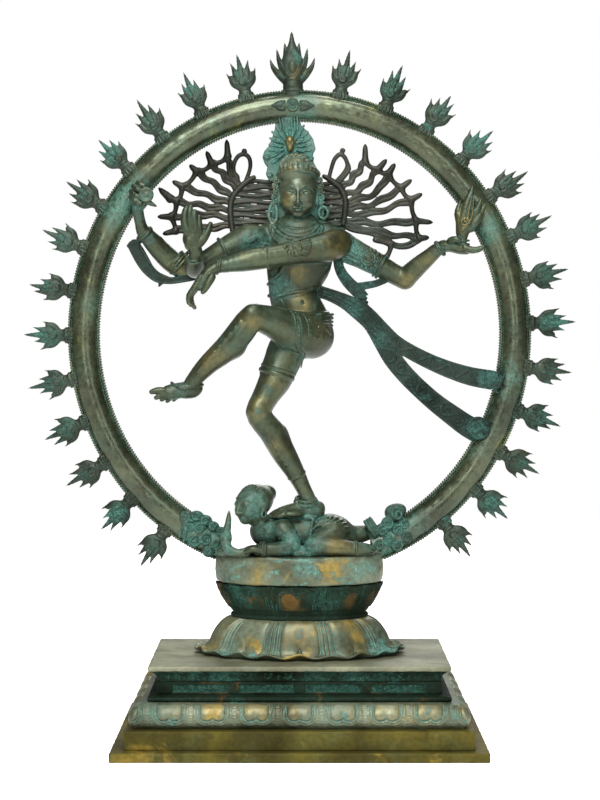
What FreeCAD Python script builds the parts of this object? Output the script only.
import FreeCAD, Part
import Sketcher
import math
import os
from FreeCAD import Placement, Rotation, Vector

# A cast brass dancing figure in an oval ring of flames, on a lotus and a stepped plinth.
# Millimetres. +Z is up, -Y is the front, and the origin is the middle of the plinth's underside.

os.makedirs("parts", exist_ok=True)
doc = FreeCAD.newDocument("nataraja")

# ---------------------------------------------------------------- driving dimensions

SIZES = {
    # stepped plinth, from the ground up
    "slab_width": 468, "slab_depth": 307, "slab_height": 12,
    "step_width": 434, "step_depth": 280, "step_height": 24,
    "petal_width": 422, "petal_depth": 264, "petal_height": 30, "petal_round": 13,
    "bead_width": 380, "bead_depth": 216, "bead_height": 7,
    "dado_width": 358, "dado_depth": 187, "dado_height": 16,
    "panel_width": 76, "panel_height": 10, "panel_recess": 2.5, "panel_pitch": 87,
    "top_width": 380, "top_depth": 209, "top_height": 5.5, "cove_height": 15.5,
    "tier_wall": 36, "dado_wall": 18, "edge_chamfer": 0.8,
    # lotus seat, oval in plan
    "lotus_depth_ratio": 0.55, "lotus_wall": 6,
    "rim_radius": 138, "waist_radius": 88, "bowl_radius": 108, "drum_radius": 108.5,
    "lower_height": 48, "upper_height": 45, "drum_height": 37,
    # ring of flames
    "ring_half_width": 280, "ring_half_height": 295, "ring_height": 525,
    "tube_width": 40, "tube_depth": 28, "ring_end_angle": 70,
    "flame_count": 27, "flame_step": 11.09, "flame_top_angle": 91.5,
    "flame_length": 62, "top_flame_scale": 1.23, "flame_seat": 4,
    # fastenings
    "bolt_radius": 5, "boss_radius": 14, "drum_lid": 7, "lotus_lid": 6, "bolt_hole_radius": 5.4, "nut_radius": 9.5, "nut_height": 8,
    "ring_pin_radius": 3.5, "ring_pin_length": 34, "foot_pin_radius": 4, "foot_pin_length": 30,
    # figure and ornament
    "figure_scale": 1, "hair_thickness": 6, "crown_thickness": 9, "sash_thickness": 5,
}

sheet = doc.addObject("Spreadsheet::Sheet", "sizes")
for row, (alias, value) in enumerate(SIZES.items(), start=1):
    sheet.set(f"A{row}", alias)
    sheet.set(f"B{row}", str(value))
    sheet.setAlias(f"B{row}", alias)
doc.recompute()


def size(alias):
    """The value of one cell of the sheet."""
    return float(getattr(sheet, alias))


nodes = []


def keep(obj, label):
    """Give a finished sub-part the name of its file."""
    obj.Label = label
    nodes.append(obj)
    return obj


def solid_node(label, shape, placement=None):
    """A sub-part whose shape is made with Part's own functions."""
    obj = doc.addObject("Part::Feature", label)
    obj.Shape = shape
    if placement is not None:
        obj.Placement = placement
    return keep(obj, label)


def trimmed(shape, *neighbours):
    """Fit a casting against its neighbours: what they fill is cut away, and no sliver is left."""
    for neighbour in neighbours:
        if shape.BoundBox.intersect(neighbour.BoundBox):
            shape = shape.cut(neighbour)
    return max(shape.Solids, key=lambda solid: solid.Volume)


# ---------------------------------------------------------------- plinth

def plane_of(body, role):
    """One of a body's own origin planes."""
    return next(f for f in body.Origin.OriginFeatures if f.Role == role)


def rectangle(body, name, width, depth, across="0", up="0", role="XY_Plane"):
    """A sketch of one rectangle, centred on a point, with its four sizes bound to the sheet."""
    sketch = body.newObject("Sketcher::SketchObject", name)
    sketch.AttachmentSupport = (plane_of(body, role), [""])
    sketch.MapMode = "FlatFace"
    corners = [Vector(-1, -1, 0), Vector(1, -1, 0), Vector(1, 1, 0), Vector(-1, 1, 0)]
    for index in range(4):
        sketch.addGeometry(Part.LineSegment(corners[index], corners[(index + 1) % 4]))
    for index in range(4):
        sketch.addConstraint(Sketcher.Constraint("Coincident", index, 2, (index + 1) % 4, 1))
    for index in (0, 2):
        sketch.addConstraint(Sketcher.Constraint("Horizontal", index))
    for index in (1, 3):
        sketch.addConstraint(Sketcher.Constraint("Vertical", index))
    width_id = sketch.addConstraint(Sketcher.Constraint("DistanceX", 0, 1, 0, 2, 2.0))
    depth_id = sketch.addConstraint(Sketcher.Constraint("DistanceY", 1, 1, 1, 2, 2.0))
    left_id = sketch.addConstraint(Sketcher.Constraint("DistanceX", -1, 1, 0, 2, 1.0))
    low_id = sketch.addConstraint(Sketcher.Constraint("DistanceY", -1, 1, 2, 1, 1.0))
    sketch.setExpression(f"Constraints[{width_id}]", width)
    sketch.setExpression(f"Constraints[{depth_id}]", depth)
    sketch.setExpression(f"Constraints[{left_id}]", f"({across}) + ({width}) / 2")
    sketch.setExpression(f"Constraints[{low_id}]", f"({up}) + ({depth}) / 2")
    return sketch


def pad(body, name, sketch, length):
    """Raise a sketch by a length bound to the sheet."""
    feature = body.newObject("PartDesign::Pad", name)
    feature.Profile = sketch
    feature.setExpression("Length", length)
    sketch.Visibility = False
    return feature


def pocket_through(body, name, sketch):
    """Cut a sketch through the body, upwards from its underside."""
    feature = body.newObject("PartDesign::Pocket", name)
    feature.Profile = sketch
    feature.Type = "ThroughAll"
    feature.Reversed = True
    return feature


def tier(label, width, depth, height, bottom):
    """One open tier of the plinth: a rectangular frame with walls, standing at a height."""
    body = doc.addObject("PartDesign::Body", label)
    pad(body, label + "_outer", rectangle(body, label + "_plan", width, depth), height)
    inner = rectangle(body, label + "_hollow", f"({width}) - 2 * sizes.tier_wall",
                      f"({depth}) - 2 * sizes.tier_wall")
    pocket_through(body, label + "_open", inner)
    body.setExpression("Placement.Base.z", bottom)
    return keep(body, label)


Z_STEP = "sizes.slab_height"
Z_PETAL = Z_STEP + " + sizes.step_height"
Z_BEAD = Z_PETAL + " + sizes.petal_height"
Z_DADO = Z_BEAD + " + sizes.bead_height"
Z_COVE = Z_DADO + " + sizes.dado_height"
Z_TOP = Z_COVE + " + sizes.cove_height"
plinth_top = sum(size(a) for a in ("slab_height", "step_height", "petal_height", "bead_height",
                                   "dado_height", "cove_height", "top_height"))

slab = tier("plinth_bottom_slab", "sizes.slab_width", "sizes.slab_depth", "sizes.slab_height", "0")
step = tier("plinth_step_block", "sizes.step_width", "sizes.step_depth", "sizes.step_height", Z_STEP)
doc.recompute()


def top_edges(feature, height):
    """Names of the outer edges that lie level at a height of a body."""
    names = []
    for index, edge in enumerate(feature.Shape.Edges, start=1):
        box = edge.BoundBox
        if abs(box.ZMin - height) < 0.01 and abs(box.ZMax - height) < 0.01:
            names.append(f"Edge{index}")
    return names


for body, height in ((slab, size("slab_height")), (step, size("step_height"))):
    before = body.Tip
    chamfer = body.newObject("PartDesign::Chamfer", body.Name + "_chamfer")
    chamfer.Base = (before, top_edges(before, height))
    chamfer.setExpression("Size", "sizes.edge_chamfer")

# The petal moulding is a rounded torus in section, with a plain bead strip on top of it.
moulding = doc.addObject("PartDesign::Body", "plinth_petal_moulding")
torus_pad = pad(moulding, "moulding_outer", rectangle(moulding, "moulding_plan", "sizes.petal_width",
                                                      "sizes.petal_depth"), "sizes.petal_height")
doc.recompute()
fillet = moulding.newObject("PartDesign::Fillet", "moulding_round")
level = top_edges(torus_pad, size("petal_height")) + top_edges(torus_pad, 0)
fillet.Base = (torus_pad, level)
fillet.setExpression("Radius", "sizes.petal_round")
strip = rectangle(moulding, "strip_plan", "sizes.bead_width", "sizes.bead_depth")
pad(moulding, "strip", strip, "sizes.petal_height + sizes.bead_height")
hollow = rectangle(moulding, "moulding_hollow", "sizes.dado_width - 2 * sizes.dado_wall",
                   "sizes.dado_depth - 2 * sizes.dado_wall")
pocket_through(moulding, "moulding_open", hollow)
moulding.setExpression("Placement.Base.z", Z_PETAL)
keep(moulding, "plinth_petal_moulding")

# The dado has four recessed panels on the front and back, and two on each side.
dado = doc.addObject("PartDesign::Body", "plinth_dado")
pad(dado, "dado_outer", rectangle(dado, "dado_plan", "sizes.dado_width", "sizes.dado_depth"),
    "sizes.dado_height")
hollow = rectangle(dado, "dado_hollow", "sizes.dado_width - 2 * sizes.dado_wall",
                   "sizes.dado_depth - 2 * sizes.dado_wall")
pocket_through(dado, "dado_open", hollow)


def panel_cut(name, role, places, half_span):
    """Recess a row of panels into both faces that lie across one origin plane."""
    for index, place in enumerate(places):
        sketch = rectangle(dado, f"{name}_{index}", "sizes.panel_width", "sizes.panel_height",
                           across=f"{place} * sizes.panel_pitch", up="sizes.dado_height / 2", role=role)
        for side, sign in (("near", 1), ("far", -1)):
            copy = sketch if side == "near" else rectangle(
                dado, f"{name}_{index}_far", "sizes.panel_width", "sizes.panel_height",
                across=f"{place} * sizes.panel_pitch", up="sizes.dado_height / 2", role=role)
            copy.setExpression("AttachmentOffset.Base.z",
                               f"{sign} * ({half_span} - sizes.panel_recess)")
            cut = dado.newObject("PartDesign::Pocket", f"{name}_{index}_{side}_cut")
            cut.Profile = copy
            cut.Reversed = sign > 0
            cut.setExpression("Length", "2 * sizes.panel_recess")


panel_cut("front_panel", "XZ_Plane", (-1.5, -0.5, 0.5, 1.5), "sizes.dado_depth / 2")
panel_cut("side_panel", "YZ_Plane", (-0.5, 0.5), "sizes.dado_width / 2")
dado.setExpression("Placement.Base.z", Z_DADO)
keep(dado, "plinth_dado")

# The top slab carries a hollow cove below it, and a hole for the tie bolt.
top_plate = doc.addObject("Part::Box", "top_plate")
cove_block = doc.addObject("Part::Box", "cove_block")
cove_open = doc.addObject("Part::Box", "cove_open")
for box, width, depth, height, bottom in (
        (top_plate, "sizes.top_width", "sizes.top_depth", "sizes.top_height", Z_TOP),
        (cove_block, "sizes.top_width - 6", "sizes.top_depth - 6", "sizes.cove_height", Z_COVE),
        (cove_open, "sizes.dado_width - 2 * sizes.dado_wall", "sizes.dado_depth - 2 * sizes.dado_wall",
         "sizes.cove_height", Z_COVE)):
    box.setExpression("Length", width)
    box.setExpression("Width", depth)
    box.setExpression("Height", height)
    box.setExpression("Placement.Base.x", f"-({width}) / 2")
    box.setExpression("Placement.Base.y", f"-({depth}) / 2")
    box.setExpression("Placement.Base.z", bottom)
cove_cuts = []
for sign in (-1, 1):
    for axis, span in (("x", "sizes.top_width"), ("y", "sizes.top_depth")):
        groove = doc.addObject("Part::Cylinder", f"cove_{axis}_{'low' if sign < 0 else 'high'}")
        groove.setExpression("Radius", "sizes.cove_height * 0.8")
        groove.Height = 2 * size("slab_width")
        turn = Rotation(Vector(1, 0, 0), 90) if axis == "x" else Rotation(Vector(0, 1, 0), 90)
        reach = size("slab_width") * (Vector(0, 1, 0) if axis == "x" else Vector(-1, 0, 0))
        groove.Placement = Placement(reach, turn)
        groove.setExpression(f"Placement.Base.{axis}", f"{sign} * ({span} / 2 + 2)")
        groove.setExpression("Placement.Base.z", Z_COVE + " + sizes.cove_height * 0.35")
        cove_cuts.append(groove)
tie_hole = doc.addObject("Part::Cylinder", "tie_hole")
tie_hole.setExpression("Radius", "sizes.bolt_hole_radius")
tie_hole.Height = 60
tie_hole.setExpression("Placement.Base.z", Z_COVE)
top_joined = doc.addObject("Part::MultiFuse", "top_joined")
top_joined.Shapes = [top_plate, cove_block]
top_tools = doc.addObject("Part::MultiFuse", "top_tools")
top_tools.Shapes = [cove_open, tie_hole] + cove_cuts
top_slab = doc.addObject("Part::Cut", "plinth_top_slab")
top_slab.Base = top_joined
top_slab.Tool = top_tools
keep(top_slab, "plinth_top_slab")


# ---------------------------------------------------------------- lotus

def oval_loft(name, stations):
    """A smooth solid through level ovals: pairs of half-width and height, each an expression."""
    sections = []
    for index, (radius, height) in enumerate(stations):
        oval = doc.addObject("Part::Ellipse", f"{name}_oval_{index}")
        oval.setExpression("MajorRadius", radius)
        oval.setExpression("MinorRadius", f"({radius}) * sizes.lotus_depth_ratio")
        oval.setExpression("Placement.Base.z", height)
        sections.append(oval)
    loft = doc.addObject("Part::Loft", name)
    loft.Sections = sections
    loft.Solid = True
    return loft


def oval_shell(label, stations, lid):
    """A hollow oval casting, open below, with a lid and the tie bolt's hole through it."""
    outer = oval_loft(label + "_outer", stations)
    first_height = stations[0][1]
    last_radius, last_height = stations[-1]
    inner_stations = [(f"({r}) - sizes.lotus_wall", z) for r, z in stations[:-1]]
    inner_stations.append((f"({last_radius}) - sizes.lotus_wall", f"({last_height}) - {lid}"))
    inner = oval_loft(label + "_inner", inner_stations)
    hole = doc.addObject("Part::Cylinder", label + "_hole")
    hole.setExpression("Radius", "sizes.bolt_hole_radius")
    hole.Height = 200
    hole.setExpression("Placement.Base.z", first_height)
    tools = doc.addObject("Part::MultiFuse", label + "_tools")
    tools.Shapes = [inner, hole]
    shell = doc.addObject("Part::Cut", label)
    shell.Base = outer
    shell.Tool = tools
    return keep(shell, label)


Z_LOWER = Z_TOP + " + sizes.top_height"
Z_UPPER = Z_LOWER + " + sizes.lower_height"
Z_DRUM = Z_UPPER + " + sizes.upper_height"
oval_shell("lotus_lower", [
    ("sizes.rim_radius", Z_LOWER),
    ("sizes.rim_radius * 0.975", Z_LOWER + " + sizes.lower_height * 0.18"),
    ("sizes.rim_radius * 0.87", Z_LOWER + " + sizes.lower_height * 0.48"),
    ("sizes.waist_radius * 1.14", Z_LOWER + " + sizes.lower_height * 0.78"),
    ("sizes.waist_radius", Z_UPPER)], "sizes.lotus_lid")
oval_shell("lotus_upper", [
    ("sizes.waist_radius", Z_UPPER),
    ("sizes.waist_radius * 1.05", Z_UPPER + " + sizes.upper_height * 0.2"),
    ("sizes.bowl_radius * 0.97", Z_UPPER + " + sizes.upper_height * 0.6"),
    ("sizes.bowl_radius", Z_DRUM)], "sizes.lotus_lid")
drum_stations = [
    ("sizes.drum_radius * 0.985", Z_DRUM),
    ("sizes.drum_radius * 1.01", Z_DRUM + " + sizes.drum_height * 0.5"),
    ("sizes.drum_radius", Z_DRUM + " + sizes.drum_height")]
drum_block = oval_loft("drum_block", drum_stations)
drum_inner = oval_loft("drum_inner", [
    ("sizes.drum_radius - sizes.lotus_wall", Z_DRUM),
    ("sizes.drum_radius - sizes.lotus_wall", Z_DRUM + " + sizes.drum_height - sizes.drum_lid")])
drum_boss = doc.addObject("Part::Cylinder", "drum_boss")
drum_boss.Radius = size("boss_radius")
drum_boss.Height = size("drum_height") - 2 * size("lotus_lid")
drum_boss.setExpression("Placement.Base.z", Z_DRUM + " + sizes.lotus_lid")
doc.recompute()

drum_bottom = plinth_top + size("lower_height") + size("upper_height")
drum_top = drum_bottom + size("drum_height")
bolt_top = drum_top - 10
bolt_bottom = plinth_top - size("top_height") - 2 - size("nut_height") - 4
bolt = Part.makeCylinder(size("bolt_radius"), bolt_top - bolt_bottom, Vector(0, 0, bolt_bottom))
nut_section = Part.makePolygon([
    Vector(size("nut_radius") * math.cos(math.radians(60 * k)),
           size("nut_radius") * math.sin(math.radians(60 * k)), 0) for k in range(7)])
nut = Part.Face(nut_section).extrude(Vector(0, 0, size("nut_height")))
nut.translate(Vector(0, 0, plinth_top - size("top_height") - size("nut_height")))
nut = nut.cut(bolt)

# ---------------------------------------------------------------- ring of flames

ring_centre = Vector(0, 0, size("ring_height"))


def ring_point(angle, outward=0.0):
    """A point on the ring's middle line at an ellipse angle in degrees, moved square to the line."""
    turn = math.radians(angle)
    half_w, half_h = size("ring_half_width"), size("ring_half_height")
    normal = Vector(math.cos(turn) / half_w, 0, math.sin(turn) / half_h).normalize()
    return ring_centre + Vector(half_w * math.cos(turn), 0, half_h * math.sin(turn)) + normal * outward


def oval_wire(centre, across, along, half_across, half_along, count=12):
    """A closed smooth outline: an oval about a centre, with its two half sizes."""
    points = []
    for index in range(count):
        turn = 2 * math.pi * index / count
        points.append(centre + across * (half_across * math.cos(turn)) + along * (half_along * math.sin(turn)))
    curve = Part.BSplineCurve()
    curve.interpolate(points, PeriodicFlag=True)
    return Part.Wire(curve.toShape())


def ring_tube():
    """The tube, lofted through ovals set square to the ring's middle line."""
    sections = []
    low, high = -size("ring_end_angle"), 180 + size("ring_end_angle")
    count = 48
    for index in range(count + 1):
        angle = low + (high - low) * index / count
        middle = ring_point(angle)
        normal = (ring_point(angle, 1) - middle).normalize()
        sections.append(oval_wire(middle, normal, Vector(0, 1, 0), size("tube_width") / 2,
                                  size("tube_depth") / 2))
    return Part.makeLoft(sections, True, False)


def ring_pin(sign, grow=0.0):
    """One of the two upright pins between a ring end and the drum."""
    foot = Vector(sign * (size("drum_radius") - 13), 0, drum_top - size("ring_pin_length") / 2)
    return Part.makeCylinder(size("ring_pin_radius") + grow, size("ring_pin_length"), foot)


ring_pins = [ring_pin(sign) for sign in (-1, 1)]
ring_solid = trimmed(ring_tube(), drum_block.Shape, *ring_pins)
drum_solid = trimmed(drum_block.Shape, drum_inner.Shape)
drum_solid = drum_solid.fuse(drum_boss.Shape.cut(bolt)).cut(bolt)
for pin in ring_pins:
    drum_solid = drum_solid.cut(pin)
drum_solid = max(drum_solid.Solids, key=lambda solid: solid.Volume)
solid_node("lotus_drum", drum_solid)
solid_node("base_tie_bolt", bolt)
solid_node("base_tie_nut", nut)
solid_node("ring", ring_solid)
solid_node("ring_foot_pins", Part.makeCompound(ring_pins))


def flame_shape():
    """A flame standing on the origin along +Z: foot, neck, bulb and five pointed tongues."""
    length = size("flame_length")
    foot = Part.makeCone(0.15 * length, 0.10 * length, 0.16 * length)
    neck = Part.makeCone(0.10 * length, 0.13 * length, 0.16 * length, Vector(0, 0, 0.15 * length))
    bulb = Part.makeSphere(0.15 * length, Vector(0, 0, 0.40 * length))
    body = foot.fuse([neck, bulb])
    for lean, reach in ((0, 0.66), (20, 0.52), (-20, 0.52), (44, 0.34), (-44, 0.34)):
        turn = math.radians(lean)
        way = Vector(math.sin(turn), 0, math.cos(turn))
        start = Vector(0, 0, 0.34 * length) + way * (0.02 * length)
        body = body.fuse(Part.makeCone(0.085 * length, 0.4, reach * length, start, way))
    return body.removeSplitter()


flame = flame_shape()
top_flame_index = (int(size("flame_count")) - 1) // 2
for number in range(int(size("flame_count"))):
    polar = size("flame_top_angle") + (top_flame_index - number) * size("flame_step")
    turn = math.radians(polar)
    ratio = size("ring_half_width") / size("ring_half_height")
    ellipse_angle = math.degrees(math.atan2(math.sin(turn) * ratio, math.cos(turn)))
    outward = Vector(math.cos(turn), 0, math.sin(turn))
    seat = ring_point(ellipse_angle, size("tube_width") / 2 - size("flame_seat"))
    shape = flame.copy()
    if number == top_flame_index:
        shape = shape.scaled(size("top_flame_scale"))
    shape.Placement = Placement(seat, Rotation(Vector(0, 1, 0), 90 - polar))
    solid_node(f"flame_{number + 1:02d}", trimmed(shape, ring_solid))


# ---------------------------------------------------------------- figure

FIGURE_BASE = Vector(0, 0, drum_top)


def at(x, y, z):
    """A place on the figure, which grows or shrinks about the drum's top with figure_scale."""
    return FIGURE_BASE + (Vector(x, y, z) - FIGURE_BASE) * size("figure_scale")


def limb(stations, side=Vector(0, 1, 0)):
    """A smooth casting through ovals: each is x, y, z, half size across, half size along `side`."""
    centres = [at(*station[:3]) for station in stations]
    sections = []
    for index, station in enumerate(stations):
        before = centres[max(index - 1, 0)]
        after = centres[min(index + 1, len(centres) - 1)]
        way = (after - before).normalize()
        across = side.cross(way).normalize()
        along = way.cross(across).normalize()
        scale = size("figure_scale")
        sections.append(oval_wire(centres[index], across, along, station[3] * scale, station[4] * scale))
    return Part.makeLoft(sections, True, False)


def cast(*pieces):
    """Pieces of one casting, fused."""
    return pieces[0].fuse(list(pieces[1:]))


torso = limb([
    (-1, 2, 674, 17, 16), (-1, 2, 662, 36, 21), (0, 0, 646, 51, 25), (0, -1, 624, 45, 26),
    (-5, -2, 604, 37, 23), (-9, -3, 588, 31, 20), (-8, -4, 572, 31, 21), (-1, -5, 556, 34, 25),
    (8, -5, 538, 37, 27), (13, -3, 520, 33, 26), (15, -1, 504, 23, 20)])
head = trimmed(limb([
    (-1, 2, 668, 15, 15), (-1, 1, 678, 16, 16), (-2, -4, 685, 20, 22), (-2, -5, 698, 25, 29),
    (-2, -4, 714, 27, 31), (-2, -3, 732, 26, 30), (-2, -2, 744, 20, 23), (-2, -2, 754, 8, 9)]), torso)

leg_standing = trimmed(cast(
    limb([(6, -3, 518, 21, 19), (-11, -8, 502, 23, 23), (-22, -14, 488, 22, 22), (-32, -23, 464, 20, 20),
          (-44, -30, 440, 16, 17), (-52, -34, 424, 16.5, 18), (-44, -30, 406, 15.5, 16),
          (-30, -23, 380, 15.5, 16), (-18, -16, 360, 14.5, 15), (-7, -9, 340, 12, 12), (2, -5, 322, 10, 11),
          (12, -4, 300, 11, 13)]),
    limb([(25, -3, 296, 9, 11), (8, -7, 298, 11, 14), (-12, -12, 296, 8, 16), (-32, -17, 292.5, 5.5, 15),
          (-41, -19, 291.5, 4, 11)])), torso)
leg_raised = trimmed(cast(
    limb([(14, -8, 525, 19, 18), (-4, -24, 527, 24, 23), (-24, -42, 534, 22, 22), (-44, -56, 541, 18.5, 19),
          (-62, -66, 544, 15.5, 16)]),
    Part.makeSphere(17, at(-62, -64, 540)),
    limb([(-62, -64, 546, 14, 14), (-71, -63, 533, 16.5, 17), (-82, -62, 520, 17, 17),
          (-104, -60, 496, 14.7, 15), (-124, -58, 476, 11.3, 12), (-139, -58, 460, 10, 11)]),
    limb([(-126, -58, 451, 8, 11), (-140, -58, 453, 11, 13), (-160, -60, 449, 8, 16),
          (-178, -62, 448, 6, 15), (-190, -62, 449, 4, 11)])), torso, leg_standing)

arm_front_left = trimmed(cast(
    limb([(50, -4, 644, 19, 18), (38, -16, 639, 19, 18), (18, -30, 634, 16, 16), (0, -38, 630, 14.5, 15),
          (-38, -50, 624, 13, 14), (-70, -54, 618, 12.5, 13), (-90, -56, 615, 9.5, 10),
          (-104, -57, 612, 7.5, 9)]),
    limb([(-100, -57, 613, 7, 9), (-112, -58, 606, 8, 13), (-122, -58, 594, 8, 15), (-130, -58, 580, 6, 13),
          (-133, -58, 570, 5, 11), (-133, -57, 560, 4, 8)])), torso)
arm_front_right = trimmed(cast(
    limb([(-42, -2, 650, 19, 18), (-62, -4, 646, 19, 18), (-80, -6, 636, 16.5, 16), (-104, -8, 622, 14, 14),
          (-127, -10, 610, 13.5, 14), (-139, -11, 604, 11.5, 12.5), (-145, -11, 601, 7, 8)]),
    limb([(-133, -4, 604, 10, 10), (-134, -14, 607, 12.5, 12.5), (-135, -30, 613, 12, 12),
          (-136, -44, 619, 10.4, 10.4), (-137, -56, 625, 9, 9)], Vector(1, 0, 0)),
    limb([(-137, -57, 618, 7, 7), (-137, -60, 632, 9, 9.5), (-138, -62, 648, 12, 8), (-139, -63, 660, 12, 7),
          (-141, -65, 674, 9, 5.5), (-143, -66, 686, 5, 4)])), torso)
arm_rear_right = trimmed(cast(
    limb([(-44, 12, 642, 16, 15), (-66, 13, 636, 16, 15), (-96, 13, 620, 14, 14), (-124, 13, 609, 13, 14),
          (-144, 12, 604, 12.5, 13)]),
    Part.makeSphere(14, at(-141, 12, 606)),
    limb([(-136, 13, 603, 12.5, 12.5), (-152, 9, 614, 14, 14), (-170, 4, 629, 13, 13),
          (-188, -2, 645, 11, 11), (-201, -8, 657, 9, 9)]),
    limb([(-198, -7, 650, 7, 9), (-205, -12, 668, 7, 11), (-207, -15, 684, 6, 12), (-206, -18, 700, 5, 10),
          (-208, -20, 716, 3.5, 6)])), torso, arm_front_right, ring_solid)
arm_rear_left = trimmed(cast(
    limb([(44, 8, 644, 16, 15), (62, 9, 638, 16, 15), (90, 8, 620, 14, 14), (118, 6, 603, 13, 13),
          (140, 3, 592, 12, 12)]),
    Part.makeSphere(13.5, at(137, 3, 595)),
    limb([(132, 4, 591, 12, 12), (148, -1, 605, 12, 12), (164, -7, 622, 10.5, 11), (182, -13, 641, 8.5, 9)]),
    limb([(176, -12, 638, 6, 9), (190, -15, 642, 5, 12), (206, -17, 640, 4.5, 14), (222, -18, 635, 4, 11),
          (236, -18, 637, 3, 7)])), torso, arm_front_left, ring_solid)

# ---------------------------------------------------------------- crown and hair


def bar(start, end, width, thickness, y_back):
    """A flat bar with round ends in the plane of the hair, its back face at y_back."""
    low, high = at(*start), at(*end)
    way = (high - low).normalize()
    across = Vector(-way.z, 0, way.x) * (width / 2)
    shift = Vector(0, y_back - thickness, 0)
    corners = [low + across, low - across, high - across, high + across, low + across]
    plate = Part.Face(Part.makePolygon([Vector(c.x, 0, c.z) + shift for c in corners]))
    pieces = [plate.extrude(Vector(0, thickness, 0))]
    for end_point in (low, high):
        pieces.append(Part.makeCylinder(width / 2, thickness, Vector(end_point.x, 0, end_point.z) + shift,
                                        Vector(0, 1, 0)))
    return pieces


def hair_fan(band, nodes_out, tips, roots):
    """Locks that leave a curved band near the head and end in a chain of pointed stars."""
    thickness = size("hair_thickness")
    pieces = []
    for first, second in zip(band, band[1:]):
        pieces += bar((first[0], 0, first[1]), (second[0], 0, second[1]), 13, thickness + 1, 14)
    for first, second in zip(nodes_out, nodes_out[1:]):
        pieces += bar((first[0], 0, first[1]), (second[0], 0, second[1]), 6, thickness, 14)
    for node, tip in zip(nodes_out, tips):
        pieces += bar((node[0], 0, node[1]), (tip[0], 0, tip[1]), 5, thickness, 14)
    for node, root in zip(nodes_out, roots):
        for lift in (-3.5, 3.5):
            pieces += bar((root[0], 0, root[1] + lift), (node[0], 0, node[1] + lift * 0.5), 4.6, thickness, 14)
    return pieces[0].fuse(pieces[1:])


crown_outline = [
    (-33, 799), (-36, 780), (-40, 768), (-47, 760), (-47, 751), (-41, 741), (-42, 731), (-30, 716),
    (22, 716), (27, 731), (19, 749), (20, 765), (17, 778), (9, 788), (2, 799)]
crown_points = [at(x, 8, z) for x, z in crown_outline]
crown_plate = Part.Face(Part.makePolygon(crown_points + crown_points[:1]))
crown_fan = trimmed(crown_plate.extrude(Vector(0, -size("crown_thickness"), 0)), head, ring_solid)

left_band = [(-45, 744), (-68, 730), (-84, 708), (-90, 690), (-88, 656)]
left_nodes = [(-71, 746), (-96, 752), (-114, 745), (-133, 736), (-152, 715), (-160, 696), (-168, 677),
              (-161, 661)]
left_tips = [(-71, 764), (-96, 777), (-121, 762), (-143, 744), (-164, 724), (-183, 714), (-185, 677),
             (-176, 660)]
left_roots = [(-60, 728), (-70, 722), (-78, 713), (-84, 703), (-88, 692), (-89, 682), (-89, 672), (-88, 662)]
right_band = [(38, 740), (52, 720), (59, 696), (60, 660)]
right_nodes = [(56, 748), (84, 748), (103, 739), (117, 733), (134, 716), (147, 700), (152, 672), (154, 650)]
right_tips = [(57, 766), (84, 770), (110, 752), (122, 746), (144, 725), (156, 708), (171, 671), (166, 652)]
right_roots = [(48, 728), (53, 720), (56, 712), (58, 704), (60, 694), (60, 684), (60, 674), (60, 664)]

arms = [arm_front_left, arm_front_right, arm_rear_left, arm_rear_right]
hair_left = trimmed(hair_fan(left_band, left_nodes, left_tips, left_roots),
                    head, torso, crown_fan, *arms)
hair_right = trimmed(hair_fan(right_band, right_nodes, right_tips, right_roots),
                     head, torso, crown_fan, *arms)

# ---------------------------------------------------------------- attributes, scarves and dwarf

ball = Part.makeSphere
damaru = trimmed(cast(
    Part.makeCone(9, 4, 9, at(-197, -36, 704), Vector(0, 1, 0)),
    Part.makeCone(4, 9, 9, at(-197, -27, 704), Vector(0, 1, 0)),
    Part.makeCone(2.2, 1, 16, at(-197, -27, 704), Vector(0.6, 0, -0.8))), arm_rear_right)
hand_flame = trimmed(cast(
    Part.makeCylinder(6, 14, at(209, -18, 641)),
    ball(13, at(209, -19, 664)),
    Part.makeCone(9, 0.6, 44, at(211, -19, 672), Vector(0.22, 0, 0.97)),
    Part.makeCone(6, 0.6, 30, at(206, -19, 668), Vector(-0.16, 0, 0.98)),
    Part.makeCone(6, 0.6, 28, at(214, -19, 668), Vector(0.5, 0, 0.86))), arm_rear_left, ring_solid)

SASH = size("sash_thickness") / 2
sash_upper = trimmed(cast(
    limb([(20, -6, 583, 7, SASH), (40, -8, 576, 8, SASH), (62, -9, 566, 11, SASH), (82, -9, 549, 14, SASH),
          (100, -9, 530, 13, SASH), (118, -9, 514, 10, SASH), (138, -8, 504, 9, SASH),
          (160, -7, 494, 9.5, SASH), (186, -6, 483, 10.5, SASH), (214, -5, 474, 11.5, SASH),
          (240, -4, 468, 11.5, SASH), (262, -4, 467, 11, SASH)]),
    Part.makeCylinder(11, 8, at(254, -9, 466), Vector(0, 1, 0))), torso, ring_solid, leg_raised)
sash_lower = trimmed(cast(
    limb([(96, -9, 528, 8, SASH), (112, -9, 506, 10, SASH), (134, -8, 482, 10, SASH),
          (160, -7, 455, 10, SASH), (188, -6, 432, 11, SASH), (214, -5, 414, 12, SASH),
          (236, -4, 400, 12, SASH)]),
    Part.makeCylinder(14, 8, at(231, -9, 404), Vector(0, 1, 0))), sash_upper, torso, ring_solid)
sash_arm_left = trimmed(cast(
    limb([(54, 4, 628, 8, SASH), (54, 4, 610, 8, SASH), (56, 4, 596, 8, SASH), (66, 4, 580, 8, SASH),
          (78, 4, 568, 5, SASH), (84, 4, 563, 2, SASH)]),
    limb([(66, 4, 582, 5, SASH), (82, 5, 588, 5, SASH), (97, 6, 602, 5, SASH), (104, 7, 614, 6, SASH)])),
    torso, *arms)
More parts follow.
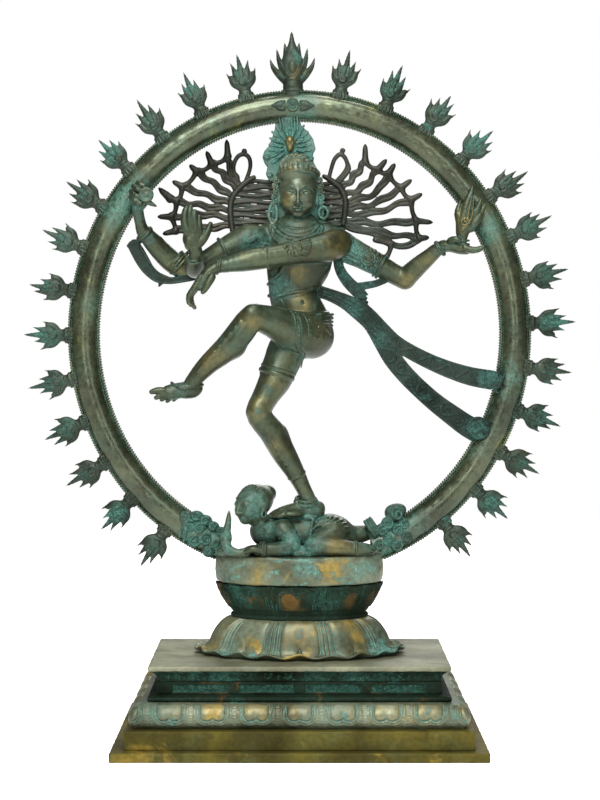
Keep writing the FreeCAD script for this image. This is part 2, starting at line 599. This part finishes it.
sash_arm_right = trimmed(cast(
    limb([(-212, 2, 646, 6, SASH), (-207, 3, 630, 7, SASH), (-198, 4, 614, 8, SASH), (-184, 5, 601, 7, SASH),
          (-168, 6, 598, 6, SASH), (-150, 8, 604, 6, SASH)]),
    limb([(-190, 5, 604, 5, SASH), (-186, 5, 596, 4, SASH), (-182, 5, 588, 1.5, SASH)])),
    arm_rear_right, arm_front_right, ring_solid)

dwarf = trimmed(cast(
    limb([(-48, -4, 268, 13, 14), (-36, -2, 264, 19, 22), (-14, 0, 262, 22, 27), (10, 1, 263, 23, 28),
          (34, 2, 265, 24, 28), (52, 2, 259, 18, 24), (58, 2, 256, 9, 14)]),
    ball(27, at(-61, -10, 303)),
    ball(12, at(-47, -2, 330)),
    Part.makeCylinder(12, 24, at(-50, -5, 268), Vector(-0.25, -0.1, 0.95)),
    limb([(-26, -20, 268, 10, 10), (-16, -32, 256, 9, 9), (-14, -38, 249, 8, 8)]),
    limb([(-12, -36, 249, 8, 8), (-34, -42, 249, 7, 8), (-58, -44, 249, 7, 9), (-72, -44, 248, 5, 8)]),
    limb([(40, -16, 262, 14, 14), (20, -30, 254, 12, 12), (14, -33, 251, 11, 11)]),
    limb([(16, -33, 251, 10, 10), (44, -32, 251, 9, 9), (66, -31, 250, 7, 8), (84, -30, 248, 6, 10)]),
    limb([(46, 8, 262, 14, 14), (62, 14, 256, 11, 12), (78, 14, 258, 9, 10), (92, 12, 262, 7, 8)])),
    drum_block.Shape, ring_solid)
leg_standing = trimmed(leg_standing, dwarf)
cobra = trimmed(cast(
    limb([(-66, -46, 247, 4, 4), (-78, -44, 247, 4.5, 4.5), (-90, -40, 251, 4.5, 4.5),
          (-96, -37, 262, 4.5, 4.5), (-95, -35, 276, 5, 4), (-92, -34, 290, 6, 3), (-92, -34, 299, 2, 2)])),
    dwarf, drum_block.Shape, ring_solid)
foot_pin = Part.makeCylinder(size("foot_pin_radius"), size("foot_pin_length"), at(12, -5, 274))

FIGURE = {
    "torso": torso, "head": head, "crown_fan": crown_fan,
    "arm_front_right": arm_front_right, "arm_front_left": arm_front_left,
    "arm_rear_right": arm_rear_right, "arm_rear_left": arm_rear_left,
    "leg_standing": trimmed(leg_standing, foot_pin), "leg_raised": leg_raised,
    "hair_fan_left": hair_left, "hair_fan_right": hair_right,
    "damaru": damaru, "hand_flame": hand_flame,
    "sash_upper_tail": sash_upper, "sash_lower_tail": sash_lower,
    "sash_arm_left": sash_arm_left, "sash_arm_right": sash_arm_right,
    "dwarf": trimmed(dwarf, foot_pin), "dwarf_cobra": cobra, "figure_foot_pin": foot_pin,
}
for label, shape in FIGURE.items():
    solid_node(label, shape)

# ---------------------------------------------------------------- check and write

doc.recompute()
for obj in doc.Objects:
    if "Invalid" in obj.State or "Error" in obj.State:
        raise RuntimeError(f"{obj.Label} did not compute: {obj.State}")
for node in nodes:
    if node.Shape.isNull() or not node.Shape.isValid():
        raise RuntimeError(f"{node.Label} has no valid shape")
    node.Shape.exportStep(f"parts/{node.Label}.step")
    box = node.Shape.BoundBox
    print(f"{node.Label:24s} {len(node.Shape.Solids)} solid(s) {node.Shape.Volume / 1000:9.2f} cm3 "
          f"z {box.ZMin:.1f}..{box.ZMax:.1f}")
print(len(nodes), "nodes")
